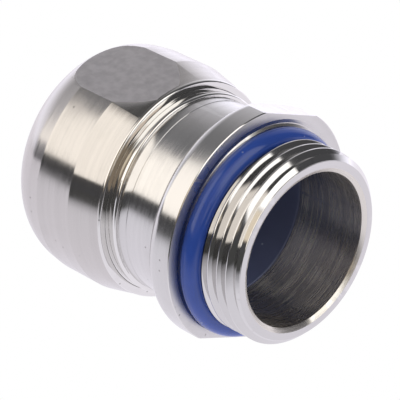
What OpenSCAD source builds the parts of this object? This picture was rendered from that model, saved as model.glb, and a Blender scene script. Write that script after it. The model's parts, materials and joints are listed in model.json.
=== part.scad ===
// Straight cable gland: a turned steel body with a flange, a domed clamping nut, blue seals
// and a clamp of fingers that close on the cable when the nut is tightened.
// The axis is X. The connection thread points to +X, and the cable enters through the dome at -X.
// X = 0 is the sealing face of the flange. Lengths are in millimetres, profiles are [radius, x].

/* [Connection thread] */
// Outer diameter of the thread
thread_d = 25; // [24.6:0.1:28]
// Distance from one crest to the next
thread_pitch = 1.5; // [1:0.25:2]
// Depth of the thread
thread_depth = 0.92; // [0.5:0.02:0.94]
// Width of a crest's flat top
thread_crest = 0.2; // [0.1:0.05:0.3]
// Length from the sealing face to the end of the thread
thread_l = 8.15; // [7:0.05:14]
// Distance from the last full crest to the end of the thread
thread_lead = 1.4; // [1.1:0.05:1.6]
// Chamfer at the end of the thread
thread_chamfer = 0.9; // [0.3:0.05:1.1]
// Depth of the plain undercut behind the thread, below its crests
undercut = 1.3; // [1:0.05:1.5]

/* [Passage] */
// Wall from the thread's crests to the bore
thread_wall = 2.45; // [2.2:0.05:3.5]
// Chamfer at the bore's mouth
bore_chamfer = 0.5; // [0.2:0.05:0.7]
// Distance from the sealing face to the shoulder that stops the sealing insert
shoulder_in = 2.5; // [1:0.1:5]
// Width of that shoulder
shoulder_w = 0.95; // [0.5:0.05:1.1]
// Wall of the sealing insert's nose, round the cable's passage
insert_wall = 1; // [0.6:0.05:3]
// Length of the insert's funnel, from the shoulder
funnel_l = 10.5; // [4:0.1:16]
// Width of the insert's end face round the funnel
funnel_rim = 1; // [0.6:0.05:1.6]
// Length of the insert's thick seat, from the shoulder
insert_seat_l = 9.7; // [5:0.1:12]

/* [Flange] */
// Thickness of the flange seal's round section
flange_seal_tube = 2.6; // [1.6:0.1:2.8]
// Room round the flange seal in its groove
flange_seal_room = 0.1; // [0.04:0.02:0.3]
// Depth of the seal's groove in the flange
groove_depth = 0.25; // [0.1:0.05:1]
// Width of the sealing land outside the groove
flange_land = 1.45; // [0.8:0.05:3]
// Length of the flange's straight rim
flange_t = 2.4; // [1.5:0.1:4]
// Round at the back of the flange
flange_round = 1.8; // [0.5:0.1:3]
// Fillet between the flange and the neck
neck_fillet = 0.8; // [0.2:0.1:1.2]
// Depth of the flange's two spanner flats
flange_flat = 0.87; // [0.3:0.01:1.2]
// Turn of the flange's flats about the axis
flange_turn = 22.5; // [-90:0.5:90]

/* [Neck and guide ring] */
// Distance from the sealing face to the step behind the neck
neck_l = 11.35; // [8:0.05:20]
// Height of that step, from the neck up to the guide ring
neck_step = 0.6; // [0.2:0.05:1]
// How far the guide ring, which the nut's skirt slides over, stands above the thread's crests
ring_over = 0.9; // [0.5:0.05:2]
// Length of the guide ring
ring_l = 3.85; // [3:0.05:6]
// Chamfer on the guide ring's edges
ring_chamfer = 0.25; // [0.1:0.05:0.35]
// Thickness of the nut seal's round section
nut_seal_tube = 1.2; // [0.8:0.1:1.6]
// Room round the nut seal in its groove
nut_seal_room = 0.1; // [0.04:0.02:0.2]
// Gap between the nut seal and the skirt
nut_seal_gap = 0.1; // [0.05:0.01:0.2]
// Width of the lip behind the nut seal's groove
nut_seal_lip = 0.4; // [0.3:0.05:1]

/* [Nut] */
// Distance from the neck's step to the nut's end, as it stands
nut_stand = 1.65; // [0.6:0.05:2.2]
// Gap between the skirt and the guide ring
skirt_gap = 0.3; // [0.15:0.05:0.5]
// Wall of the collar at the end of the skirt
collar_wall = 0.75; // [0.5:0.05:2]
// Length of the collar
collar_l = 1.2; // [0.5:0.05:2]
// Rise of the cone from the collar to the barrel
cone_rise = 0.9; // [0.5:0.05:2]
// Length of that cone
cone_l = 3.55; // [1:0.05:5]
// Length of the barrel
barrel_l = 6.05; // [5:0.05:12]
// Radius of the dome's round
dome_r = 6.65; // [5:0.05:8]
// Depth of the nut's two spanner flats
nut_flat = 1; // [0.4:0.05:1.2]
// Turn of the nut's flats about the axis
nut_turn = -8.5; // [-90:0.5:90]
// Thickness of the wall round the cable's mouth
mouth_wall = 0.85; // [0.5:0.05:1.5]
// Gap between the insert's nose and the mouth
mouth_gap = 0.3; // [0.1:0.05:0.6]
// How far the insert's nose ends inside the mouth
nose_in = 0.25; // [0:0.05:1]

/* [Nut thread] */
// Step from the guide ring down to the thread's crests
nut_thread_step = 0.65; // [0.5:0.05:0.8]
// Depth of the thread
nut_thread_depth = 0.65; // [0.3:0.05:0.7]
// Distance from one crest to the next
nut_thread_pitch = 1.5; // [1.3:0.1:2]
// Radial gap between the two threads
nut_thread_gap = 0.2; // [0.1:0.05:0.3]
// Length of the body behind the guide ring, which carries the thread
nut_thread_l = 5.6; // [4:0.05:7]
// Plain length between the guide ring and the thread
nut_thread_relief = 0.5; // [0.3:0.05:1]
// Length of the thread in the nut
nut_grip_l = 4.2; // [3:0.05:5]
// Travel of the nut from where it stands to fully tight
tighten_travel = 2.25; // [0.5:0.05:2.5]
// Gap that is left at the stops when the nut is fully tight
stop_gap = 0.2; // [0.1:0.05:0.4]

/* [Clamp] */
// Slope of the nut's clamping cone, as radius over length
clamp_slope = 0.4; // [0.2:0.02:0.46]
// Wall of the slip ring
slip_wall = 0.8; // [0.5:0.05:0.9]
// Gap between the slip ring and the nut
slip_gap = 0.1; // [0.05:0.01:0.2]
// Gap between the cage and the body
cage_gap = 0.1; // [0.05:0.01:0.2]
// Wall of the cage and of the fingers' roots
cage_wall = 1.45; // [1.2:0.05:1.6]
// How far the cage stands out of the body
cage_out = 0.2; // [0:0.05:0.5]
// Number of fingers
finger_n = 14; // [8:1:16]
// Gap between two fingers
finger_gap = 0.8; // [0.6:0.05:1.2]
// Gap between a finger and the slip ring
finger_room = 0.2; // [0.1:0.05:0.3]
// Bevel at a finger's tip
finger_bevel = 0.4; // [0.2:0.05:0.6]
// Gap between the finger tips and the nut when fully tight
tip_room = 0.6; // [0.3:0.05:1]
// Gap between the fingers and the sealing insert
insert_gap = 0.2; // [0.1:0.05:0.4]
// Distance from the cage's end to the centre of the knuckles
hinge_out = 0.2; // [0.1:0.05:0.3]
// Radius of the knuckle at a finger's root
knuckle_r = 0.5; // [0.35:0.05:0.55]
// Length of the knuckle
knuckle_l = 2.2; // [1.5:0.1:2.4]
// Gap between the knuckle and its groove in the cage
knuckle_gap = 0.15; // [0.12:0.01:0.18]

/* [Hidden] */
round_fn = 128;
section_fn = 64;
overlap = 0.2;
past = 1;
flank_angle = 30;

// Radii of the body
thread_r = thread_d / 2;
bore_r = thread_r - thread_wall;
seat_r = bore_r + shoulder_w;
thread_root_r = thread_r - thread_depth;
undercut_r = thread_r - undercut;
flange_seal_r = undercut_r + flange_seal_room / 2 + flange_seal_tube / 2;
groove_r = flange_seal_r + flange_seal_tube / 2 + flange_seal_room;
flange_r = groove_r + flange_land;
ring_r = thread_r + ring_over;
neck_r = ring_r - neck_step;
male_r = ring_r - nut_thread_step;
male_root_r = male_r - nut_thread_depth;

// Radii of the nut
skirt_r = ring_r + skirt_gap;
collar_r = skirt_r + collar_wall;
nut_r = collar_r + cone_rise;
grip_r = male_r + nut_thread_gap;
grip_root_r = grip_r + nut_thread_depth;
nut_seal_r = skirt_r - nut_seal_gap - nut_seal_tube / 2;

// Places along the axis
shoulder_x = -shoulder_in;
flange_seal_x = flange_seal_tube / 2 + flange_seal_room / 2 - groove_depth;
flange_seal_front = flange_seal_x + flange_seal_tube / 2;
step_x = -neck_l;
ring_end_x = step_x - ring_l;
nut_seal_x = ring_end_x + nut_seal_lip + nut_seal_room + nut_seal_tube / 2;
body_end_x = ring_end_x - nut_thread_l;
nut_end_x = step_x - nut_stand;
collar_x = nut_end_x - collar_l;
barrel_x = collar_x - cone_l;
dome_x = barrel_x - barrel_l;
mouth_x = dome_x - dome_r;
cap_x = mouth_x + mouth_wall;
grip_x = ring_end_x - tighten_travel - stop_gap;
grip_end_x = grip_x - nut_grip_l;
clamp_x = min(body_end_x - tighten_travel - stop_gap, grip_end_x - stop_gap);
insert_step_x = shoulder_x - insert_seat_l;

// Teeth of the connection thread, from the last full one back to the flange seal
last_crest_x = thread_l - thread_lead;
thread_half = tooth_half(thread_depth, thread_crest);
thread_run_x = min(last_crest_x + thread_pitch - thread_half, thread_l - thread_crest);
crests = floor((last_crest_x - thread_half - flange_seal_front) / thread_pitch) + 1;
thread_end_x = last_crest_x - (crests - 1) * thread_pitch - thread_half;

// Back of the flange and groove of the nut seal
flange_back_round = min(flange_round, flange_r - neck_r - neck_fillet);
flange_back_x = -flange_t - flange_back_round;
nut_groove_r = nut_seal_r - nut_seal_tube / 2 - nut_seal_room;
nut_groove_half = nut_seal_tube / 2 + nut_seal_room;

// Teeth of the nut's thread on the body, and their grooves in the nut
nut_crest = nut_thread_pitch - 2 * nut_thread_depth * tan(flank_angle) - 2 * nut_thread_gap;
nut_tooth_half = tooth_half(nut_thread_depth, nut_crest);
male_x = ring_end_x - nut_thread_relief - nut_tooth_half;
male_n = floor((male_x - nut_tooth_half - body_end_x) / nut_thread_pitch) + 1;
grip_tooth_x = grip_x - nut_thread_gap - nut_tooth_half;
grip_n = floor((grip_tooth_x - nut_tooth_half - grip_end_x) / nut_thread_pitch) + 1;

// Clamping cone of the nut and the slip ring that lies on it
function clamp_r(x) = grip_r - clamp_slope * (clamp_x - x);
function slip_out_r(x) = clamp_r(x) - slip_gap;
function slip_in_r(x) = slip_out_r(x) - slip_wall;
slip_end_x = cap_x + slip_gap;

// Cage and fingers: a finger turns about its knuckle, and its tip touches the slip ring
cage_r = seat_r - cage_gap;
cage_in_r = cage_r - cage_wall;
cage_end_x = body_end_x - cage_out;
hinge_r = (cage_r + cage_in_r) / 2;
hinge_x = cage_end_x - hinge_out;
root_x = hinge_x - knuckle_r;
tip_x = cap_x + tighten_travel + tip_room;
touch_x = tip_x + finger_bevel;
touch_r = slip_in_r(touch_x) - finger_room;
finger_arm = hinge_x - touch_x;
finger_lift = touch_r - hinge_r;
finger_rate = clamp_slope / (finger_arm - clamp_slope * finger_lift);
finger_close = finger_rate * tighten_travel * 180 / PI;
finger_angle = 360 / finger_n - finger_gap / cage_in_r * 180 / PI;

// Sealing insert: its nose is slim enough for the closed fingers
sleeve_r = cage_in_r - insert_gap;
nose_r = cage_in_r - (hinge_x - tip_x) * sin(finger_close) - insert_gap;
nose_x = mouth_x + nose_in;
mouth_r = nose_r + mouth_gap;
passage_r = nose_r - insert_wall;

function finger_name(i) = str("clamp_finger_", i + 1);

// A profile of [radius, x] turned about the X axis
module turned() {
    rotate([0, 90, 0]) rotate_extrude($fn = round_fn) children();
}

// The same profile turned through part of a circle, centred on +Z
module turned_part(angle) {
    rotate([0, 90, 0])
        rotate([0, 0, 180 - angle / 2])
            rotate_extrude(angle = angle, $fn = round_fn) children();
}

// Points of one thread tooth in a profile, towards -X
function tooth_half(height, crest) = crest / 2 + height * tan(flank_angle);
function tooth(x, root_r, tip_r, crest) = [
    [root_r, x + tooth_half(tip_r - root_r, crest)], [tip_r, x + crest / 2],
    [tip_r, x - crest / 2], [root_r, x - tooth_half(tip_r - root_r, crest)]
];

// Corner of a profile outside a round, with the round's centre at [r, x]
module corner_cut(r, x, radius) {
    difference() {
        translate([r, x - radius - past]) square([radius + past, radius + past]);
        circle_at(r, x, radius);
    }
}

module circle_at(r, x, radius) {
    translate([r, x]) circle(r = radius, $fn = section_fn);
}

// Two parallel flats cut into a round piece
module flats(x0, x1, half, reach, turn) {
    for (side = [0, 180])
        rotate([side - turn, 0, 0])
            translate([x0, -reach, half]) cube([x1 - x0, 2 * reach, reach]);
}

// Threaded end: a part tooth that the chamfer cuts off, the full teeth and the undercut
function spigot_points() = concat(
    [[bore_r + bore_chamfer, thread_l], [thread_r, thread_l], [thread_root_r, thread_run_x]],
    [for (i = [0:1:crests - 1])
        each tooth(last_crest_x - i * thread_pitch, thread_root_r, thread_r, thread_crest)],
    [[undercut_r, thread_end_x], [undercut_r, -groove_depth]]
);

// Seal groove, flange with a square back, and the neck with a square step in place of its fillet
function flange_points() = [
    [groove_r, -groove_depth], [groove_r, 0], [flange_r, 0], [flange_r, flange_back_x],
    [neck_r + neck_fillet, flange_back_x], [neck_r + neck_fillet, flange_back_x - neck_fillet],
    [neck_r, flange_back_x - neck_fillet], [neck_r, step_x]
];

// Guide ring with the groove of the nut seal
function ring_points() = [
    [ring_r - ring_chamfer, step_x], [ring_r, step_x - ring_chamfer],
    [ring_r, nut_seal_x + nut_groove_half], [nut_groove_r, nut_seal_x + nut_groove_half],
    [nut_groove_r, nut_seal_x - nut_groove_half], [ring_r, nut_seal_x - nut_groove_half],
    [ring_r, ring_end_x + ring_chamfer], [ring_r - ring_chamfer, ring_end_x]
];

// Thread for the nut, then the seat of the insert and cage and the bore, back to the threaded end
function stem_points() = concat(
    [[male_root_r, ring_end_x]],
    [for (i = [0:1:male_n - 1]) each tooth(male_x - i * nut_thread_pitch, male_root_r, male_r, nut_crest)],
    [[male_root_r, body_end_x], [seat_r, body_end_x], [seat_r, shoulder_x], [bore_r, shoulder_x]],
    [[bore_r, thread_l - bore_chamfer]]
);

module gland_body() {
    color("#c9c5c2") difference() {
        turned() difference() {
            polygon(concat(spigot_points(), flange_points(), ring_points(), stem_points()));
            polygon([
                [thread_r - thread_chamfer, thread_l], [thread_r - thread_chamfer, thread_l + past],
                [thread_r + past, thread_l + past], [thread_r + past, thread_l - thread_chamfer],
                [thread_r, thread_l - thread_chamfer]
            ]);
            corner_cut(flange_r - flange_back_round, -flange_t, flange_back_round);
            circle_at(neck_r + neck_fillet, flange_back_x - neck_fillet, neck_fillet);
        }
        flats(-flange_t - flange_round - past, past, flange_r - flange_flat, flange_r, flange_turn);
    }
}

// Nut: collar, cone, barrel and dome outside, then the mouth, clamping cone, thread and skirt inside
module dome_nut() {
    color("#d3cfca") difference() {
        turned() difference() {
            polygon(concat(
                [[skirt_r, nut_end_x], [collar_r, nut_end_x], [collar_r, collar_x], [nut_r, barrel_x]],
                [[nut_r, mouth_x], [mouth_r, mouth_x], [mouth_r, cap_x], [clamp_r(cap_x), cap_x]],
                [[grip_r, clamp_x], [grip_root_r, clamp_x], [grip_root_r, grip_end_x], [grip_r, grip_end_x]],
                [for (i = [grip_n - 1:-1:0], k = [3:-1:0])
                    tooth(grip_tooth_x - i * nut_thread_pitch, grip_r, grip_root_r, nut_crest)[k]],
                [[grip_r, grip_x], [skirt_r, grip_x]]
            ));
            corner_cut(nut_r - dome_r, dome_x, dome_r);
        }
        flats(mouth_x - past, collar_x, nut_r - nut_flat, nut_r, nut_turn);
    }
}

module flange_seal() {
    color("#27418f") turned()
        translate([flange_seal_r, flange_seal_x]) circle(d = flange_seal_tube, $fn = section_fn);
}

module nut_seal() {
    color("#27418f") turned()
        translate([nut_seal_r, nut_seal_x]) circle(d = nut_seal_tube, $fn = section_fn);
}

// Soft sleeve from the shoulder to the mouth, with a funnel towards the bore
module sealing_insert() {
    seat_end_x = shoulder_x - cage_gap / 2;
    funnel_end_x = shoulder_x - funnel_l;
    color("#2c4796") turned() polygon([
        [cage_r - funnel_rim, seat_end_x], [cage_r, seat_end_x], [cage_r, insert_step_x],
        [sleeve_r, insert_step_x], [sleeve_r, hinge_x], [nose_r, tip_x], [nose_r, nose_x],
        [passage_r, nose_x], [passage_r, funnel_end_x]
    ]);
}

// Ring that carries the fingers, with a round groove for their knuckles
module clamp_cage() {
    color("#4a4c50") turned() difference() {
        translate([cage_in_r, cage_end_x]) square([cage_wall, insert_step_x - cage_gap - cage_end_x]);
        translate([hinge_r, hinge_x]) circle(r = knuckle_r + knuckle_gap, $fn = section_fn);
    }
}

// Loose ring between the turning nut and the fingers
module slip_ring() {
    color("#8d8f92") turned() polygon([
        [slip_in_r(clamp_x), clamp_x], [slip_out_r(clamp_x), clamp_x],
        [slip_out_r(slip_end_x), slip_end_x], [slip_in_r(slip_end_x), slip_end_x]
    ]);
}

module clamp_finger(i) {
    color("#55575c") rotate([-i * 360 / finger_n, 0, 0]) {
        turned_part(finger_angle) polygon([
            [cage_in_r, root_x], [cage_r, root_x], [touch_r, touch_x],
            [touch_r - finger_bevel, tip_x], [cage_in_r, tip_x]
        ]);
        translate([hinge_x, 0, hinge_r]) {
            rotate([90, 0, 0]) cylinder(h = knuckle_l, r = knuckle_r, center = true, $fn = section_fn);
            translate([-knuckle_r - overlap, -knuckle_l / 2, -knuckle_r / 2])
                cube([knuckle_r + overlap, knuckle_l, knuckle_r]);
        }
    }
}

gland_body();
dome_nut();
flange_seal();
nut_seal();
sealing_insert();
clamp_cage();
slip_ring();
for (i = [0:finger_n - 1]) clamp_finger(i);
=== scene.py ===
# Looks of a straight cable gland: turned steel body and domed nut, blue rubber seals, moulded clamp.
# The axis is X, as in the frame: the thread points to +X and the cable enters through the dome at -X.
# Sizes are in millimetres and become metres when a mesh is made. Outline corners are (x, radius, round).

import json
import math

import bmesh
import bpy
from mathutils import Matrix, Vector


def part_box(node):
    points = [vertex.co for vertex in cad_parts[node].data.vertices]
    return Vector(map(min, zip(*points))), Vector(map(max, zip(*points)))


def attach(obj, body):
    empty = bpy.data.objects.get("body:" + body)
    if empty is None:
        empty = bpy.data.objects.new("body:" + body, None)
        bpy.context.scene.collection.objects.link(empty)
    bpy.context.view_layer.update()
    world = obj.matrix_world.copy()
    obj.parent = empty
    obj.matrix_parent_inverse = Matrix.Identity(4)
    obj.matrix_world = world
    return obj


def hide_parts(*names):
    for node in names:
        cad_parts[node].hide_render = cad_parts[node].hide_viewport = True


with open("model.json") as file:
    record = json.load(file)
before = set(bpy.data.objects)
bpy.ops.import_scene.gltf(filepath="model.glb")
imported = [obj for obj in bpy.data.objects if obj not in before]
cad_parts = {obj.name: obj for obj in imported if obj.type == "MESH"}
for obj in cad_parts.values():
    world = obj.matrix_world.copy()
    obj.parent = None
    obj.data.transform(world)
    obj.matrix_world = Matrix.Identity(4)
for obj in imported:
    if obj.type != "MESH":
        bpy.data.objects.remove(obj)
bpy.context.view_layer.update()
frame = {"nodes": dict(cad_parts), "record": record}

MM = 0.001

# Fineness of the meshes: steps round the axis, and steps along a round edge
SEGMENTS = 256
ROUND_STEP = 0.12
LEAST_STEPS = 3
SHARP_ANGLE = 30

# How far a cutter reaches past what it cuts
CUT = 2


def node_box(name):
    """Lowest and highest corner of a CAD node, in millimetres."""
    low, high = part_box(name)
    return low / MM, high / MM


body_low, body_high = node_box("gland_body")
nut_low, nut_high = node_box("dome_nut")
nut_seal_low, nut_seal_high = node_box("nut_seal")
insert_low, insert_high = node_box("sealing_insert")
mount_sizes = {mount["name"]: mount["dims"] for mount in frame["record"]["mounts"]}

# Rounds on the edges of turned steel
CRISP_EDGE = 0.02
BROKEN_EDGE = 0.05
SMOOTH_EDGE = 0.1

# Connection thread, wound longer than it is and trimmed to its ends
RIM_X = body_high.x
THREAD_R = mount_sizes["connection_thread"]["r_mm"]
PITCH = 1.5
THREAD_DEPTH = 0.92
ROOT_R = THREAD_R - THREAD_DEPTH
CREST_W = 0.2
CREST_ROUND = 0.06
FLANK = math.tan(math.radians(30))
FIRST_CREST_X = 5.95
TURNS = 5
TURNS_BEHIND = 3
THREAD_END_X = 2.4
RUN_OUT = 0.1
LEAD_IN = 1.0
RIDGE_SINK = 0.3
TRIM_ROOM = RIDGE_SINK / 4
UNDERCUT_R = 11.0
UNDERCUT_X = 2.35

# Bore, down to the shoulder, and the seat behind it
BORE_R = mount_sizes["body_bore"]["r_mm"]
BORE_CHAMFER = 0.6
BORE_CHAMFER_X = 0.35
SHOULDER_X = -2.5
SEAT_R = 11.0

# Flange
FLANGE_R = body_high.y
FLANGE_T = 4.2
FLANGE_BACK_ROUND = 1.75
FLANGE_EDGE = 0.1
FLANGE_FLAT = 14.53
FLANGE_TURN = 22.5

# Dished groove in the flange's face, and the ring's seat in it
GROOVE_R = 13.95
GROOVE_X = -0.12
GROOVE_FLOOR_R = 13.42
GROOVE_ROUND = 0.25
GROOVE_LIP_X = 0.15
GROOVE_LIP_R = 13.1
RING_SEAT_X = 0.04
RING_SEAT_R = 12.9

# Flange ring, which hangs a little off the axis
RING_TUBE = 1.3
RING_X = 1.15
RING_MIDDLE_R = 12.28
RING_SAG = 0.45
RING_SAG_TURN = 108

# Neck, with a fine line turned on it, and the guide ring under the nut's skirt
NECK_R = 12.8
NECK_FILLET = 0.8
NECK_LINE_X = -9.95
NECK_LINE = 0.04
STEP_X = -11.35
GUIDE_R = 13.4
GUIDE_EDGE = 0.3
GUIDE_END_X = -15.2
GUIDE_END_ROUND = 0.15
RELIEF_X = -12.95
RELIEF = 0.25
RELIEF_W = 0.02
RELIEF_ROUND = 0.03

# Nut's ring and its groove in the guide ring
NUT_SEAL_TUBE = (nut_seal_high.x - nut_seal_low.x) / 2
NUT_SEAL_X = (nut_seal_low.x + nut_seal_high.x) / 2
SEAL_ROOM = 0.1
SEAL_GROOVE_R = nut_seal_high.y - 2 * NUT_SEAL_TUBE - SEAL_ROOM
SEAL_GROOVE_START = NUT_SEAL_X + NUT_SEAL_TUBE + SEAL_ROOM
SEAL_GROOVE_END = NUT_SEAL_X - NUT_SEAL_TUBE - SEAL_ROOM
SEAL_GROOVE_EDGE = 0.08

# Thread between the body and the nut
BODY_END_X = body_low.x
MALE_R = 12.75
MALE_ROOT_R = 12.1
GRIP_R = 12.95
GRIP_ROOT_R = 13.6
GRIP_PITCH = 1.5
GRIP_CREST_W = 0.35
MALE_FIRST_X = -16.25
MALE_TEETH = 3
GRIP_X = -17.65
GRIP_END_X = -21.85
GRIP_FIRST_X = -18.4
GRIP_TEETH = 2

# Nut
NUT_R = nut_high.y
NUT_END_X = nut_high.x
MOUTH_X = nut_low.x
MOUTH_R = 8.55
MOUTH_WALL = 0.85
SKIRT_R = 13.7
LIP_R = 13.44
LIP = 0.35
LIP_ROUND = 0.04
COLLAR_R = 14.43
COLLAR_X = -13.45
COLLAR_EDGE = 0.3
CONE_X = -17.75
CONE_ROUND = 0.3
DOME_X = -23.4
DOME_SLOPE = 0.14
DOME_ROUND = 6.4
DOME_CREASE = 0.6
CLAMP_X = -23.25
CLAMP_SLOPE = 0.4
NUT_FLAT = 14.35
FLAT_STOP = 0.15
NUT_TURN = -8.5

# Sealing insert
FUNNEL_RIM = 1.0
FUNNEL_END_X = -13.0
FUNNEL_ROUND = 3
INSERT_STEP_X = -12.2
INSERT_EDGE = 0.1
INSERT_STEP_ROUND = 0.15
SOFT_EDGE = 0.2
SLEEVE_R = 9.25
SLEEVE_END_X = -21.2
SLEEVE_ROUND = 0.4
NOSE_X = -26.75
NOSE_R = 8.25
PASSAGE_R = mount_sizes["cable_entry"]["r_mm"]
PASSAGE_EDGE = 0.3

# Clamp pieces
PLASTIC_EDGE = 0.06
PLASTIC_EDGE_STEPS = 2
WELD_GAP = 0.001

# Camera of the photograph
VIEW_AIM = Vector((-6.18, -3.94, 2.87))
VIEW_AZIMUTH = 45.33
VIEW_ELEVATION = 29.54
VIEW_DISTANCE = 324.2
VIEW_LENS = 239.55

# Colours, as linear light
BODY_STEEL = (0.64, 0.63, 0.62)
NUT_STEEL = (0.57, 0.55, 0.53)
FLAT_STEEL = (0.62, 0.6, 0.6)
# The bore's steel is paler and warmer than the body's: painted light that lifts the bore and the nut's inside
# out of their shade
BORE_STEEL_PAINTED_LIGHT = (0.72, 0.69, 0.63)
POLISHED_STEEL = (0.75, 0.74, 0.72)
EDGE_STEEL = (0.75, 0.74, 0.73)
STAIN = (0.42, 0.39, 0.36)
NICK_GREY = (0.14, 0.13, 0.12)
SEAL_BLUE = (0.034, 0.088, 0.42)
# The insert's blue, greyed and lifted to match its look deep in the bore: partly its own colour, partly
# painted light that makes up for the dim light there
INSERT_BLUE_PAINTED_LIGHT = (0.08, 0.0992, 0.192)
DUST = (0.4, 0.45, 0.6)
CLAMP_GREY = (0.07, 0.075, 0.085)
SLIP_GREY = (0.25, 0.26, 0.27)

# Where most values of a noise lie, and how far roughness swings with it
NOISE_LOW = 0.3
NOISE_HIGH = 0.7
ROUGH_SWING = 0.05

# Marks in turned steel: turning marks, stains, nicks and worn edges
ARC_FINE = 1.6
ARC_WIDE = 0.6
WIDE_MARK = 6
MARK_DARK = 0.97
MARK_PALE = 1.025
STAIN_SIZE = 5
STAIN_SHARE = 0.1
STAIN_ROUGHNESS = 0.05
NICK_GAP = 1.3
NICK_R = 0.2
NICK_SHARE = 0.14
NICK_BLUR = 0.01
NICK_SHADE = 0.75
EDGE_START = 0.52
EDGE_FULL = 0.6
EDGE_SHARE = 0.5
EDGE_POLISH = 0.3

# Marks in milled flats: mottling, straight strokes and rubs
MOTTLE_DARK = 0.1
MOTTLE_PALE = 0.07
STROKE_W = 0.5
STROKE_STRETCH = (0.25, 1, 1)
RUB_SHARE = 0.25
RUB_DARK = 0.6
MILLED_DEPTH = 0.003

# Marks in rubber and plastic
CLOUD_DARK = 0.88
CLOUD_PALE = 1.1
DUST_GAP = 2.2
DUST_SHARE = 0.5
FLOW_DARK = 0.85
FLOW_PALE = 1.12
RUBBED_PALE = 1.5
PLASTIC_SWING = 0.06
RUBBER_SKIN = 0.002
PLASTIC_SKIN = 0.004

# How steel is cut: its marks' width, depth and swing in roughness, and the stretch and turn of its gloss
FINE_TURNED = {"mark_width": 0.14, "mark_depth": 0.0004, "mark_swing": 0.03, "stretch": 1.0}
BORED = {"mark_width": 0.12, "mark_depth": 0.0003, "mark_swing": 0.05, "stretch": 1.0}
FACED = {"mark_width": 0.14, "mark_depth": 0.0001, "mark_swing": 0.02, "stretch": 0.3}
POLISHED = {"mark_width": 0.3, "mark_depth": 0.0002, "mark_swing": 0.02, "stretch": 0.3}
GLOSS_TURN = 0.25

# Which faces take which finish: room round planes and holes, and how far a normal may lean
NEAR = 0.01
FLAT_FACE = 0.9995
FACES_IN = -0.2
BORE_ROOM = 0.02
SHOULDER_ROOM = 0.05
SEAT_ROOM = 0.2
MOUTH_BAND = 1

# Studio light: panels round the object and the sweep behind it
DIM = (0.08, 0.08, 0.085)
KEY_LIGHT = (1.58, 1.49, 1.38)
SIDE_LIGHT = (1.7, 1.66, 1.62)
ROOM_LIGHT = (0.98, 0.85, 0.67)
WALL_LIGHT = (0.32, 0.26, 0.2)
TOP_LIGHT = (0.95, 0.82, 0.72)
SWEEP_LOW = -10
SWEEP_HIGH = 70
SWEEP_STOPS = (
    (0.0, (1.4, 1.38, 1.55)), (0.18, (1.3, 1.28, 1.42)), (0.31, (1.05, 1.03, 1.12)),
    (0.42, (0.68, 0.67, 0.71)), (0.62, (0.46, 0.45, 0.47)), (0.75, (0.24, 0.24, 0.25)),
    (0.9, (0.1, 0.1, 0.1)),
)

# Table under the object: how bright it is from its front edge to its back
TABLE_BACK = 125
TABLE_FRONT = -77
TABLE_FAR = 300
TABLE_LIGHT = 1.5
TABLE_STOPS = (
    (0.027, (0.05, 0.05, 0.05)), (0.122, (0.61, 0.6, 0.65)), (0.212, (0.66, 0.64, 0.7)),
    (0.42, (0.72, 0.69, 0.75)), (1.0, (1.0, 0.98, 1.1)),
)
FLOOR_R = 450
BACKDROP_R = 3000


# Mesh tools

def rounded(corners):
    """Points of a closed outline; each corner is (x, radius, round), and a round of 0 stays sharp."""
    points = []
    for i, (x, radius, bend) in enumerate(corners):
        corner = Vector((x, radius))
        if bend == 0:
            points.append(corner)
            continue
        before = (Vector(corners[i - 1][:2]) - corner).normalized()
        after = (Vector(corners[(i + 1) % len(corners)][:2]) - corner).normalized()
        half = before.angle(after) / 2
        centre = corner + (before + after).normalized() * (bend / math.sin(half))
        start = corner + before * (bend / math.tan(half)) - centre
        end = corner + after * (bend / math.tan(half)) - centre
        turn = math.atan2(start.x * end.y - start.y * end.x, start.dot(end))
        steps = max(LEAST_STEPS, math.ceil(abs(turn) * bend / ROUND_STEP))
        first = math.atan2(start.y, start.x)
        for k in range(steps + 1):
            angle = first + turn * k / steps
            points.append(centre + bend * Vector((math.cos(angle), math.sin(angle))))
    return points


def on_axis(x, radius, angle):
    """A point at that distance along and from the axis, in metres."""
    return Vector((x, radius * math.cos(angle), radius * math.sin(angle))) * MM


def as_object(name, mesh):
    """A scene object from a bmesh, with its faces turned outwards."""
    bmesh.ops.recalc_face_normals(mesh, faces=mesh.faces)
    if mesh.calc_volume(signed=True) < 0:
        bmesh.ops.reverse_faces(mesh, faces=mesh.faces)
    data = bpy.data.meshes.new(name)
    mesh.to_mesh(data)
    mesh.free()
    made = bpy.data.objects.new(name, data)
    bpy.context.scene.collection.objects.link(made)
    return made


def lathe(name, points):
    """A closed outline of (x, radius) points, turned about the axis."""
    mesh = bmesh.new()
    rings = []
    for k in range(SEGMENTS):
        angle = 2 * math.pi * k / SEGMENTS
        rings.append([mesh.verts.new(on_axis(x, radius, angle)) for x, radius in points])
    for k, ring in enumerate(rings):
        following = rings[(k + 1) % SEGMENTS]
        for i in range(len(points)):
            mesh.faces.new((ring[i - 1], ring[i], following[i], following[i - 1]))
    return as_object(name, mesh)


def helix(name, points, start_x, turns):
    """A closed section of (x, radius) points, wound round the axis as a right-hand thread."""
    mesh = bmesh.new()
    rows = []
    for k in range(turns * SEGMENTS + 1):
        angle = 2 * math.pi * k / SEGMENTS
        along = start_x + PITCH * k / SEGMENTS
        rows.append([mesh.verts.new(on_axis(along + x, radius, angle)) for x, radius in points])
    for row, following in zip(rows, rows[1:]):
        for i in range(len(points)):
            mesh.faces.new((row[i - 1], row[i], following[i], following[i - 1]))
    mesh.faces.new(rows[0])
    mesh.faces.new(rows[-1])
    return as_object(name, mesh)


def block(name, low, high, turn):
    """A box between two corners, turned about the axis."""
    mesh = bmesh.new()
    bmesh.ops.create_cube(mesh, size=1)
    angle = math.radians(turn)
    for vert in mesh.verts:
        x, y, z = (a + (b - a) * (share + 0.5) for a, b, share in zip(low, high, vert.co))
        across = y * math.cos(angle) - z * math.sin(angle)
        up = y * math.sin(angle) + z * math.cos(angle)
        vert.co = Vector((x, across, up)) * MM
    return as_object(name, mesh)


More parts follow.
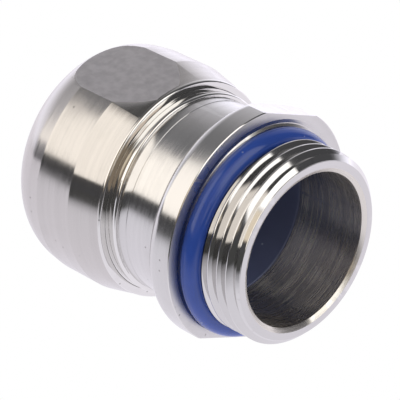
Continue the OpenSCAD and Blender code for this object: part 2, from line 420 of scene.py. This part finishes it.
def combine(piece, other, operation):
    """Joins, cuts or trims a piece with another object, which is used up."""
    step = piece.modifiers.new("combine", "BOOLEAN")
    step.object = other
    step.operation = operation
    step.solver = "MANIFOLD"
    graph = bpy.context.evaluated_depsgraph_get()
    made = bpy.data.meshes.new_from_object(piece.evaluated_get(graph))
    piece.modifiers.clear()
    piece.data = made
    bpy.data.objects.remove(other)


def cut_flats(piece, low_x, high_x, half, turn):
    """Cuts two parallel flats into a round piece."""
    low = (low_x, -FLANGE_R, half)
    high = (high_x, FLANGE_R, half + FLANGE_R)
    for side in (0, 180):
        combine(piece, block("flat_cutter", low, high, side - turn), "DIFFERENCE")


def teeth(first_x, count, root_r, tip_r):
    """Outline corners of the teeth that join body and nut, from +X to -X."""
    foot = GRIP_CREST_W / 2 + abs(tip_r - root_r) * FLANK
    for i in range(count):
        x = first_x - i * GRIP_PITCH
        yield (x + foot, root_r, 0)
        yield (x + GRIP_CREST_W / 2, tip_r, 0)
        yield (x - GRIP_CREST_W / 2, tip_r, 0)
        yield (x - foot, root_r, 0)


def smooth(piece):
    """Smooth faces with sharp edges where the surface turns a corner."""
    piece.data.shade_smooth()
    piece.data.set_sharp_from_angle(angle=math.radians(SHARP_ANGLE))
    even = piece.modifiers.new("even_normals", "WEIGHTED_NORMAL")
    even.keep_sharp = True


# Pieces

def make_body():
    """Turned body with the connection thread, flange, neck and guide ring."""
    thread_and_face = [
        (RIM_X, BORE_R + BORE_CHAMFER, BROKEN_EDGE), (RIM_X, ROOT_R, BROKEN_EDGE),
        (THREAD_END_X, ROOT_R, BROKEN_EDGE), (UNDERCUT_X, UNDERCUT_R, BROKEN_EDGE),
        (RING_SEAT_X, UNDERCUT_R, SMOOTH_EDGE), (RING_SEAT_X, RING_SEAT_R, 0),
        (GROOVE_LIP_X, GROOVE_LIP_R, CRISP_EDGE), (GROOVE_X, GROOVE_FLOOR_R, GROOVE_ROUND),
        (0, GROOVE_R, GROOVE_ROUND), (0, FLANGE_R - FLANGE_EDGE, CRISP_EDGE),
    ]
    flange_and_neck = [
        (-FLANGE_EDGE, FLANGE_R, CRISP_EDGE), (-FLANGE_T, FLANGE_R, FLANGE_BACK_ROUND),
        (-FLANGE_T, NECK_R, NECK_FILLET), (NECK_LINE_X, NECK_R, 0),
        (NECK_LINE_X - NECK_LINE, NECK_R + NECK_LINE, 0), (STEP_X, NECK_R + NECK_LINE, BROKEN_EDGE),
    ]
    guide_ring = [
        (STEP_X, GUIDE_R, GUIDE_EDGE), (RELIEF_X, GUIDE_R - RELIEF, 0),
        (RELIEF_X - RELIEF_W, GUIDE_R, RELIEF_ROUND), (SEAL_GROOVE_START, GUIDE_R, SEAL_GROOVE_EDGE),
        (SEAL_GROOVE_START, SEAL_GROOVE_R, 0), (SEAL_GROOVE_END, SEAL_GROOVE_R, 0),
        (SEAL_GROOVE_END, GUIDE_R, SEAL_GROOVE_EDGE), (GUIDE_END_X, GUIDE_R, GUIDE_END_ROUND),
        (GUIDE_END_X, MALE_ROOT_R, 0), *teeth(MALE_FIRST_X, MALE_TEETH, MALE_ROOT_R, MALE_R),
    ]
    inside = [
        (BODY_END_X, MALE_ROOT_R, SMOOTH_EDGE), (BODY_END_X, SEAT_R, SMOOTH_EDGE), (SHOULDER_X, SEAT_R, 0),
        (SHOULDER_X, BORE_R, BROKEN_EDGE), (RIM_X - BORE_CHAMFER_X, BORE_R, BROKEN_EDGE),
    ]
    body = lathe("steel_body", rounded(thread_and_face + flange_and_neck + guide_ring + inside))
    foot = CREST_W / 2 + THREAD_DEPTH * FLANK
    ridge = helix("thread_ridge", rounded([
        (-foot, ROOT_R - RIDGE_SINK, 0), (-foot, ROOT_R, 0), (-CREST_W / 2, THREAD_R, CREST_ROUND),
        (CREST_W / 2, THREAD_R, CREST_ROUND), (foot, ROOT_R, 0), (foot, ROOT_R - RIDGE_SINK, 0),
    ]), FIRST_CREST_X - TURNS_BEHIND * PITCH, TURNS)
    trim = lathe("thread_trim", rounded([
        (THREAD_END_X, ROOT_R - 2 * RIDGE_SINK, 0), (THREAD_END_X, ROOT_R - TRIM_ROOM, 0),
        (THREAD_END_X + RUN_OUT, THREAD_R + TRIM_ROOM, 0), (RIM_X - LEAD_IN, THREAD_R + TRIM_ROOM, 0),
        (RIM_X - BROKEN_EDGE, ROOT_R - TRIM_ROOM, 0), (RIM_X - BROKEN_EDGE, ROOT_R - 2 * RIDGE_SINK, 0),
    ]))
    combine(ridge, trim, "INTERSECT")
    combine(body, ridge, "UNION")
    cut_flats(body, -FLANGE_T - CUT, CUT, FLANGE_FLAT, FLANGE_TURN)
    return body


def make_nut():
    """Domed clamping nut, with the collar, cone and barrel outside and the clamping cone inside."""
    cap_x = MOUTH_X + MOUTH_WALL
    dome_r = NUT_R - DOME_SLOPE * (DOME_X - MOUTH_X)
    outline = rounded([
        (NUT_END_X, LIP_R, LIP_ROUND), (NUT_END_X, COLLAR_R, COLLAR_EDGE), (COLLAR_X, COLLAR_R, BROKEN_EDGE),
        (CONE_X, NUT_R, CONE_ROUND), (DOME_X, NUT_R, DOME_CREASE), (MOUTH_X, dome_r, DOME_ROUND),
        (MOUTH_X, MOUTH_R, SMOOTH_EDGE), (cap_x, MOUTH_R, SMOOTH_EDGE),
        (cap_x, GRIP_R - CLAMP_SLOPE * (CLAMP_X - cap_x), 0), (CLAMP_X, GRIP_R, 0),
        (CLAMP_X, GRIP_ROOT_R, 0), (GRIP_END_X, GRIP_ROOT_R, 0), (GRIP_END_X, GRIP_R, 0),
        *reversed(list(teeth(GRIP_FIRST_X, GRIP_TEETH, GRIP_R, GRIP_ROOT_R))),
        (GRIP_X, GRIP_R, BROKEN_EDGE), (GRIP_X, SKIRT_R, BROKEN_EDGE),
        (NUT_END_X - LIP, SKIRT_R, BROKEN_EDGE), (NUT_END_X - LIP, LIP_R, LIP_ROUND),
    ])
    nut = lathe("steel_nut", outline)
    cut_flats(nut, MOUTH_X - CUT, COLLAR_X - FLAT_STOP, NUT_FLAT, NUT_TURN)
    return nut


def make_ring(name, tube, middle_x, middle_r):
    """A round rubber ring about the axis."""
    count = math.ceil(2 * math.pi * tube / ROUND_STEP)
    angles = [2 * math.pi * k / count for k in range(count)]
    return lathe(name, [
        Vector((middle_x + tube * math.cos(a), middle_r + tube * math.sin(a))) for a in angles
    ])


def make_insert():
    """Soft sleeve with a funnel towards the bore and a slim nose in the nut's mouth."""
    outer = insert_high.y
    return lathe("blue_insert", rounded([
        (insert_high.x, outer - FUNNEL_RIM, SOFT_EDGE), (insert_high.x, outer, INSERT_EDGE),
        (INSERT_STEP_X, outer, INSERT_STEP_ROUND), (INSERT_STEP_X, SLEEVE_R, SOFT_EDGE),
        (SLEEVE_END_X, SLEEVE_R, SLEEVE_ROUND), (NOSE_X, NOSE_R, SLEEVE_ROUND),
        (insert_low.x, NOSE_R, SOFT_EDGE), (insert_low.x, PASSAGE_R, PASSAGE_EDGE),
        (FUNNEL_END_X, PASSAGE_R, FUNNEL_ROUND),
    ]))


def hang(ring, turn, drop):
    """Shifts a ring off the axis, in the direction that turn gives."""
    angle = math.radians(turn)
    shift = Vector((0, -math.sin(angle), math.cos(angle))) * drop * MM
    ring.data.transform(Matrix.Translation(shift))


steel_body = make_body()
steel_nut = make_nut()
flange_ring = make_ring("blue_flange_ring", RING_TUBE, RING_X, RING_MIDDLE_R)
hang(flange_ring, RING_SAG_TURN, RING_SAG)
nut_ring = make_ring("blue_nut_ring", NUT_SEAL_TUBE, NUT_SEAL_X, nut_seal_high.y - NUT_SEAL_TUBE)
insert = make_insert()
for piece, body, node, slot in (
    (steel_body, "body", "gland_body", "body_steel"), (steel_nut, "dome_nut", "dome_nut", "nut_steel"),
    (flange_ring, "body", "flange_seal", "blue_seal"), (nut_ring, "body", "nut_seal", "blue_seal"),
    (insert, "body", "sealing_insert", "blue_insert"),
):
    smooth(piece)
    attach(piece, body)
    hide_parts(node)


# Node tools

# Places of the colour sockets on a Mix node
MIX_FIRST = 6
MIX_SECOND = 7
MIX_RESULT = 2


class Nodes:
    """A node tree, with short calls to add nodes and to set or link what they take."""

    def __init__(self, tree):
        self.tree = tree

    def put(self, socket, value):
        """Links a socket to another node's output, or sets its value."""
        if isinstance(value, bpy.types.NodeSocket):
            self.tree.links.new(value, socket)
        elif socket.type == "RGBA":
            socket.default_value = (*value, 1)
        else:
            socket.default_value = value

    def add(self, kind, inputs, **settings):
        """A new node; inputs holds a value or an output for each socket's name or number."""
        node = self.tree.nodes.new("ShaderNode" + kind)
        for name, value in settings.items():
            setattr(node, name, value)
        for socket, value in inputs.items():
            self.put(node.inputs[socket], value)
        return node

    def math(self, operation, first, second=0.0):
        """One sum, product or the like."""
        return self.add("Math", {0: first, 1: second}, operation=operation).outputs[0]

    def blend(self, value, low, high, to_low=0.0, to_high=1.0, shape="SMOOTHSTEP"):
        """Goes from to_low to to_high while value goes from low to high."""
        ends = {"Value": value, "From Min": low, "From Max": high, "To Min": to_low, "To Max": to_high}
        return self.add("MapRange", ends, interpolation_type=shape).outputs["Result"]

    def mix(self, share, first, second):
        """Mixes two colours."""
        node = self.add("Mix", {"Factor": share}, data_type="RGBA")
        self.put(node.inputs[MIX_FIRST], first)
        self.put(node.inputs[MIX_SECOND], second)
        return node.outputs[MIX_RESULT]

    def ramp(self, value, stops):
        """A colour that follows value through stops of (position, colour)."""
        node = self.add("ValToRGB", {"Fac": value})
        elements = node.color_ramp.elements
        while len(elements) < len(stops):
            elements.new(1)
        for element, (position, colour) in zip(elements, stops):
            element.position = position
            element.color = (*colour, 1)
        return node.outputs["Color"]


class Finish(Nodes):
    """A node material with one surface shader."""

    def __init__(self, name, surface):
        self.material = bpy.data.materials.new(name)
        self.material.use_nodes = True
        super().__init__(self.material.node_tree)
        self.surface = self.tree.nodes["Principled BSDF"]
        self.place = self.add("TexCoord", {}).outputs["Object"]
        for socket, value in surface.items():
            self.set(socket, value)

    def set(self, socket, value):
        """Sets or links a socket of the surface shader."""
        self.put(self.surface.inputs[socket], value)

    def noise(self, size, detail):
        """Even noise with blots of that size in millimetres, from 0 to 1."""
        inputs = {"Vector": self.place, "Scale": 1 / (size * MM), "Detail": detail}
        return self.add("TexNoise", inputs).outputs[0]

    def turned(self, width, arcs, detail):
        """Lathe marks: noise drawn out round the axis, with a width in millimetres; more arcs are shorter."""
        x, y, z = self.add("SeparateXYZ", {"Vector": self.place}).outputs
        radius = self.math("SQRT", self.math("ADD", self.math("MULTIPLY", y, y), self.math("MULTIPLY", z, z)))
        scale = 1 / (width * MM)
        around = self.math("MULTIPLY", self.math("DIVIDE", y, radius), arcs)
        over = self.math("MULTIPLY", self.math("DIVIDE", z, radius), arcs)
        spot = self.add("CombineXYZ", {
            "X": self.math("MULTIPLY", x, scale), "Y": self.math("MULTIPLY", radius, scale), "Z": around,
        }).outputs[0]
        inputs = {"Vector": spot, "W": over, "Scale": 1.0, "Detail": detail}
        return self.add("TexNoise", inputs, noise_dimensions="4D").outputs[0]

    def nicks(self):
        """Up to 1 in a few small dents, and 0 elsewhere."""
        cells = self.add("TexVoronoi", {"Vector": self.place, "Scale": 1 / (NICK_GAP * MM)})
        drawn = self.add("SeparateColor", {"Color": cells.outputs["Color"]}).outputs[0]
        dents = self.blend(cells.outputs["Distance"], NICK_R / NICK_GAP, 0, to_high=NICK_SHADE)
        chosen = self.blend(drawn, 1 - NICK_SHARE, 1 - NICK_SHARE + NICK_BLUR)
        return self.math("MULTIPLY", chosen, dents)

    def edges(self):
        """1 on worn outer edges and 0 elsewhere."""
        return self.blend(self.add("NewGeometry", {}).outputs["Pointiness"], EDGE_START, EDGE_FULL)

    def swing(self, noise, middle, reach):
        """Goes to reach below and above middle with the noise."""
        return self.blend(noise, NOISE_LOW, NOISE_HIGH, middle - reach, middle + reach)

    def bump(self, height, depth, onto=None):
        """Bump of that depth in millimetres; onto is a bump to add it to."""
        inputs = {"Height": height, "Distance": depth * MM, "Strength": 1.0}
        if onto is not None:
            inputs["Normal"] = onto
        return self.add("Bump", inputs).outputs["Normal"]


# Materials

def shaded(colour, share):
    """A colour made darker or paler."""
    return [share * channel for channel in colour]


def steel(name, colour, roughness, mark_width, mark_depth, mark_swing, stretch, worn=True):
    """Turned steel: marks round the axis, faint stains, a few nicks and, where it is worn, bright edges."""
    finish = Finish(name, {"Metallic": 1.0, "Anisotropic": stretch, "Anisotropic Rotation": GLOSS_TURN})
    finish.set("Tangent", finish.add("Tangent", {}, direction_type="RADIAL", axis="X").outputs[0])
    fine = finish.turned(mark_width, ARC_FINE, detail=3)
    wide = finish.turned(mark_width * WIDE_MARK, ARC_WIDE, detail=2)
    stains = finish.noise(STAIN_SIZE, detail=4)
    dark = shaded(colour, MARK_DARK)
    pale = shaded(colour, MARK_PALE)
    shade = finish.mix(finish.blend(wide, low=0.25, high=0.75), dark, pale)
    shade = finish.mix(finish.blend(stains, low=0.55, high=0.75, to_high=STAIN_SHARE), shade, STAIN)
    shade = finish.mix(finish.nicks(), shade, NICK_GREY)
    rough = finish.swing(fine, roughness, mark_swing)
    rough = finish.math("ADD", rough, finish.blend(stains, low=0.5, high=0.8, to_high=STAIN_ROUGHNESS))
    if worn:
        edges = finish.edges()
        shade = finish.mix(finish.math("MULTIPLY", edges, EDGE_SHARE), shade, EDGE_STEEL)
        rough = finish.math("SUBTRACT", rough, finish.math("MULTIPLY", edges, roughness * EDGE_POLISH))
    finish.set("Base Color", shade)
    finish.set("Roughness", rough)
    finish.set("Normal", finish.bump(fine, mark_depth))
    return finish


def milled_steel(name, colour, roughness, mottling):
    """Milled flat: matte, mottled, with faint straight strokes and a few darker rubs."""
    finish = Finish(name, {"Metallic": 1.0})
    mottle = finish.noise(size=1.1, detail=5)
    grain = finish.noise(size=0.16, detail=3)
    drawn = finish.add("VectorMath", {0: finish.place, 1: STROKE_STRETCH}, operation="MULTIPLY").outputs[0]
    strokes = finish.add("TexNoise", {"Vector": drawn, "Scale": 1 / (STROKE_W * MM), "Detail": 3}).outputs[0]
    rubs = finish.noise(size=2.6, detail=2)
    dark = shaded(colour, 1 - MOTTLE_DARK * mottling)
    pale = shaded(colour, 1 + MOTTLE_PALE * mottling)
    shade = finish.mix(finish.blend(mottle, NOISE_LOW, NOISE_HIGH), dark, pale)
    rubbed = finish.blend(rubs, low=0.62, high=0.75, to_high=RUB_SHARE * mottling)
    shade = finish.mix(rubbed, shade, shaded(colour, RUB_DARK))
    worn = finish.math("MULTIPLY", finish.edges(), EDGE_SHARE)
    finish.set("Base Color", finish.mix(worn, shade, EDGE_STEEL))
    finish.set("Roughness", finish.swing(strokes, roughness, ROUGH_SWING))
    depth = MILLED_DEPTH * mottling
    finish.set("Normal", finish.bump(grain, depth, onto=finish.bump(strokes, depth)))
    return finish


def rubber(name, colour, roughness, gloss):
    """Moulded rubber: soft sheen, faint clouding, a fine skin and specks of dust."""
    finish = Finish(name, {"Specular IOR Level": gloss})
    clouds = finish.noise(size=3, detail=3)
    skin = finish.noise(size=0.12, detail=3)
    cells = finish.add("TexVoronoi", {"Vector": finish.place, "Scale": 1 / (DUST_GAP * MM)})
    specks = finish.blend(cells.outputs["Distance"], low=0.07, high=0.04, to_high=DUST_SHARE)
    shade = finish.mix(clouds, shaded(colour, CLOUD_DARK), shaded(colour, CLOUD_PALE))
    finish.set("Base Color", finish.mix(specks, shade, DUST))
    finish.set("Roughness", finish.swing(clouds, roughness, ROUGH_SWING))
    finish.set("Normal", finish.bump(skin, RUBBER_SKIN))
    return finish


def plastic(name, colour, roughness):
    """Moulded plastic: a fine eroded skin, faint flow marks and edges rubbed paler."""
    finish = Finish(name, {"Specular IOR Level": 0.5})
    flow = finish.noise(size=4, detail=3)
    skin = finish.noise(size=0.15, detail=4)
    shade = finish.mix(flow, shaded(colour, FLOW_DARK), shaded(colour, FLOW_PALE))
    finish.set("Base Color", finish.mix(finish.edges(), shade, shaded(colour, RUBBED_PALE)))
    finish.set("Roughness", finish.swing(skin, roughness, PLASTIC_SWING))
    finish.set("Normal", finish.bump(skin, PLASTIC_SKIN))
    return finish


def dress(piece, finishes, choose=None):
    """Gives a piece its finishes; choose names one from a face's middle, in millimetres, and normal."""
    names = list(finishes)
    piece.data.materials.clear()
    for name in names:
        piece.data.materials.append(finishes[name].material)
    if choose is None:
        return
    for face in piece.data.polygons:
        face.material_index = names.index(choose(face.center / MM, face.normal))


def from_axis(place):
    """How far a place lies from the axis."""
    return math.hypot(place.y, place.z)


def is_flat(normal, turn):
    """Whether a face lies on one of a pair of flats."""
    angle = math.radians(turn)
    return abs(normal.y * math.sin(angle) + normal.z * math.cos(angle)) > FLAT_FACE


def body_finish(middle, normal):
    """Name of the finish on a face of the body."""
    x = middle.x
    radius = from_axis(middle)
    in_seat = x < SHOULDER_X + SHOULDER_ROOM and radius < SEAT_R + SEAT_ROOM
    if in_seat or radius < BORE_R + BORE_CHAMFER - BORE_ROOM:
        return "bore"
    if -FLANGE_T < x < NEAR and radius > GROOVE_R and is_flat(normal, FLANGE_TURN):
        return "flat"
    if abs(x) < NEAR and radius > GROOVE_R:
        return "faced"
    if x > GROOVE_LIP_X:
        return "thread"
    if x > GROOVE_X and radius < GROOVE_R:
        return "groove"
    if x > -FLANGE_EDGE or x < STEP_X + NEAR:
        return "polished"
    return "turned"


def nut_finish(middle, normal):
    """Name of the finish on a face of the nut."""
    x = middle.x
    radius = from_axis(middle)
    outward = (normal.y * middle.y + normal.z * middle.z) / radius
    in_skirt = radius < SKIRT_R and x > MOUTH_X + MOUTH_BAND and normal.x > FACES_IN
    if x > NUT_END_X - COLLAR_EDGE and radius > LIP_R:
        return "polished"
    if in_skirt or outward < FACES_IN:
        return "bore"
    if x < COLLAR_X and is_flat(normal, NUT_TURN):
        return "flat"
    if x < DOME_X:
        return "domed"
    return "turned"


# Paler steel for the bore and the nut's inside: painted light against their shade
bore_steel_painted_light = steel("bored_steel_painted_light", BORE_STEEL_PAINTED_LIGHT, roughness=0.24, **BORED)
dress(steel_body, {
    "turned": steel("turned_body_steel", BODY_STEEL, roughness=0.13, **FINE_TURNED),
    "polished": steel("polished_body_steel", POLISHED_STEEL, roughness=0.07, **POLISHED),
    "thread": steel("threaded_body_steel", BODY_STEEL, roughness=0.09, **POLISHED),
    "groove": steel("grooved_body_steel", BODY_STEEL, roughness=0.25, **POLISHED),
    "faced": steel("faced_body_steel", BODY_STEEL, roughness=0.33, **FACED),
    "flat": milled_steel("milled_body_steel", BODY_STEEL, roughness=0.2, mottling=0.3),
    "bore": bore_steel_painted_light,
}, body_finish)
dress(steel_nut, {
    "turned": steel("turned_nut_steel", NUT_STEEL, roughness=0.14, **FINE_TURNED),
    "domed": steel("domed_nut_steel", NUT_STEEL, roughness=0.14, **FINE_TURNED, worn=False),
    "polished": steel("polished_nut_steel", POLISHED_STEEL, roughness=0.08, **POLISHED),
    "flat": milled_steel("milled_nut_steel", FLAT_STEEL, roughness=0.4, mottling=1),
    "bore": bore_steel_painted_light,
}, nut_finish)
seal_rubber = rubber("blue_seal_rubber", SEAL_BLUE, roughness=0.14, gloss=0.5)
dress(flange_ring, {"rubber": seal_rubber})
dress(nut_ring, {"rubber": seal_rubber})
# The insert rubber's colour is partly painted light for the dim bore
dress(insert, {"rubber": rubber("blue_insert_rubber_painted_light", INSERT_BLUE_PAINTED_LIGHT, roughness=0.5, gloss=0.5)})

# Clamp pieces keep their CAD shape, with rounded edges
clamp_plastic = plastic("clamp_plastic", CLAMP_GREY, roughness=0.55)
slip_plastic = plastic("slip_plastic", SLIP_GREY, roughness=0.4)
for name, node in frame["nodes"].items():
    if not name.startswith(("clamp", "slip")):
        continue
    weld = node.modifiers.new("weld", "WELD")
    weld.merge_threshold = WELD_GAP * MM
    bevel = node.modifiers.new("rounded_edges", "BEVEL")
    bevel.width = PLASTIC_EDGE * MM
    bevel.segments = PLASTIC_EDGE_STEPS
    finish = slip_plastic if name.startswith("slip") else clamp_plastic
    for place in node.material_slots:
        place.material = finish.material


# Studio

class Studio(Nodes):
    """Light from soft panels, set by direction: azimuth from +X towards +Y, and elevation, in degrees."""

    def __init__(self, world):
        world.use_nodes = True
        super().__init__(world.node_tree)
        self.output = self.tree.nodes["Background"].inputs["Color"]
        x, y, z = self.add("SeparateXYZ", {"Vector": self.add("TexCoord", {}).outputs["Generated"]}).outputs
        self.flat = self.add("CombineXYZ", {"X": x, "Y": y}).outputs[0]
        self.level = self.math("DEGREES", self.math("ARCSINE", z))
        self.light = DIM

    def turn_from(self, azimuth):
        """Degrees between a direction and that azimuth, seen from above."""
        angle = math.radians(azimuth)
        straight = self.add("VectorMath", {0: self.flat}, operation="NORMALIZE").outputs[0]
        aim = (math.cos(angle), math.sin(angle), 0)
        cosine = self.add("VectorMath", {0: straight, 1: aim}, operation="DOT_PRODUCT").outputs["Value"]
        return self.math("DEGREES", self.math("ARCCOSINE", cosine))

    def panel(self, colour, azimuth, half, side_blur, low, low_blur, high, high_blur):
        """Adds a panel that fades out over its blur at the sides and at its low and high edge."""
        side = self.blend(self.turn_from(azimuth), half + side_blur, half - side_blur)
        above = self.blend(self.level, low - low_blur, low + low_blur)
        below = self.blend(self.level, high + high_blur, high - high_blur)
        share = self.math("MULTIPLY", self.math("MULTIPLY", side, above), below)
        self.light = self.mix(share, self.light, colour)


def make_studio():
    """The panels round the object; each one covers what was set before it."""
    world = bpy.data.worlds.new("studio")
    bpy.context.scene.world = world
    studio = Studio(world)
    sweep = studio.ramp(studio.blend(studio.level, SWEEP_LOW, SWEEP_HIGH, shape="LINEAR"), SWEEP_STOPS)
    studio.panel(sweep, azimuth=143, half=63, side_blur=8, low=-90, low_blur=1, high=90, high_blur=1)
    studio.panel(WALL_LIGHT, azimuth=-62, half=30, side_blur=4, low=5, low_blur=2, high=50, high_blur=3)
    studio.panel(
        KEY_LIGHT, azimuth=-120.5, half=32.5, side_blur=3, low=9.5, low_blur=1.2, high=69, high_blur=5,
    )
    studio.panel(ROOM_LIGHT, azimuth=-24.5, half=9, side_blur=2, low=6, low_blur=2, high=30, high_blur=3)
    studio.panel(TOP_LIGHT, azimuth=-10, half=46, side_blur=4, low=45, low_blur=4, high=75, high_blur=3)
    studio.panel(SIDE_LIGHT, azimuth=14, half=22, side_blur=2, low=7, low_blur=2, high=58, high_blur=6)
    studio.panel(SIDE_LIGHT, azimuth=-14, half=9, side_blur=2, low=28, low_blur=2, high=48, high_blur=3)
    studio.put(studio.output, studio.light)


def glow(finish, colour, strength):
    """Makes a material shine evenly instead of taking light."""
    light = finish.add("Emission", {"Color": colour, "Strength": strength})
    output = finish.tree.nodes["Material Output"]
    finish.put(output.inputs["Surface"], light.outputs[0])
    finish.tree.nodes.remove(finish.surface)


def make_floor():
    """Pale floor under the object, seen in its reflections; it dims past the front edge of the table."""
    mesh = bmesh.new()
    bmesh.ops.create_circle(mesh, cap_ends=True, radius=FLOOR_R * MM, segments=SEGMENTS)
    bmesh.ops.translate(mesh, verts=mesh.verts, vec=(0, 0, body_low.z * MM))
    floor = as_object("floor", mesh)
    finish = Finish("floor_light", {})
    angle = math.radians(TABLE_BACK)
    back = finish.add("VectorMath", {
        0: finish.place, 1: (math.cos(angle) / MM, math.sin(angle) / MM, 0),
    }, operation="DOT_PRODUCT").outputs["Value"]
    shade = finish.ramp(finish.blend(back, TABLE_FRONT, TABLE_FAR, shape="LINEAR"), TABLE_STOPS)
    glow(finish, shade, TABLE_LIGHT)
    floor.data.materials.append(finish.material)
    floor.visible_camera = False


def make_backdrop():
    """Plain white all round, which only the camera sees."""
    mesh = bmesh.new()
    bmesh.ops.create_icosphere(mesh, subdivisions=4, radius=BACKDROP_R * MM)
    backdrop = as_object("backdrop", mesh)
    finish = Finish("white_backdrop", {})
    glow(finish, (1, 1, 1), 1)
    backdrop.data.materials.append(finish.material)
    backdrop.visible_diffuse = False
    backdrop.visible_glossy = False
    backdrop.visible_transmission = False
    backdrop.visible_shadow = False


make_studio()
make_floor()
make_backdrop()
bpy.context.scene.view_settings.view_transform = "Standard"


# Camera

def make_camera():
    """The photograph's camera, aimed along its azimuth and elevation."""
    azimuth = math.radians(VIEW_AZIMUTH)
    elevation = math.radians(VIEW_ELEVATION)
    level = math.cos(elevation)
    back = Vector((math.sin(azimuth) * level, -math.cos(azimuth) * level, math.sin(elevation)))
    data = bpy.data.cameras.new("camera")
    data.lens = VIEW_LENS
    camera = bpy.data.objects.new("camera", data)
    camera.location = (VIEW_AIM + back * VIEW_DISTANCE) * MM
    camera.rotation_mode = "QUATERNION"
    camera.rotation_quaternion = (-back).to_track_quat("-Z", "Y")
    bpy.context.scene.collection.objects.link(camera)
    bpy.context.scene.camera = camera


make_camera()
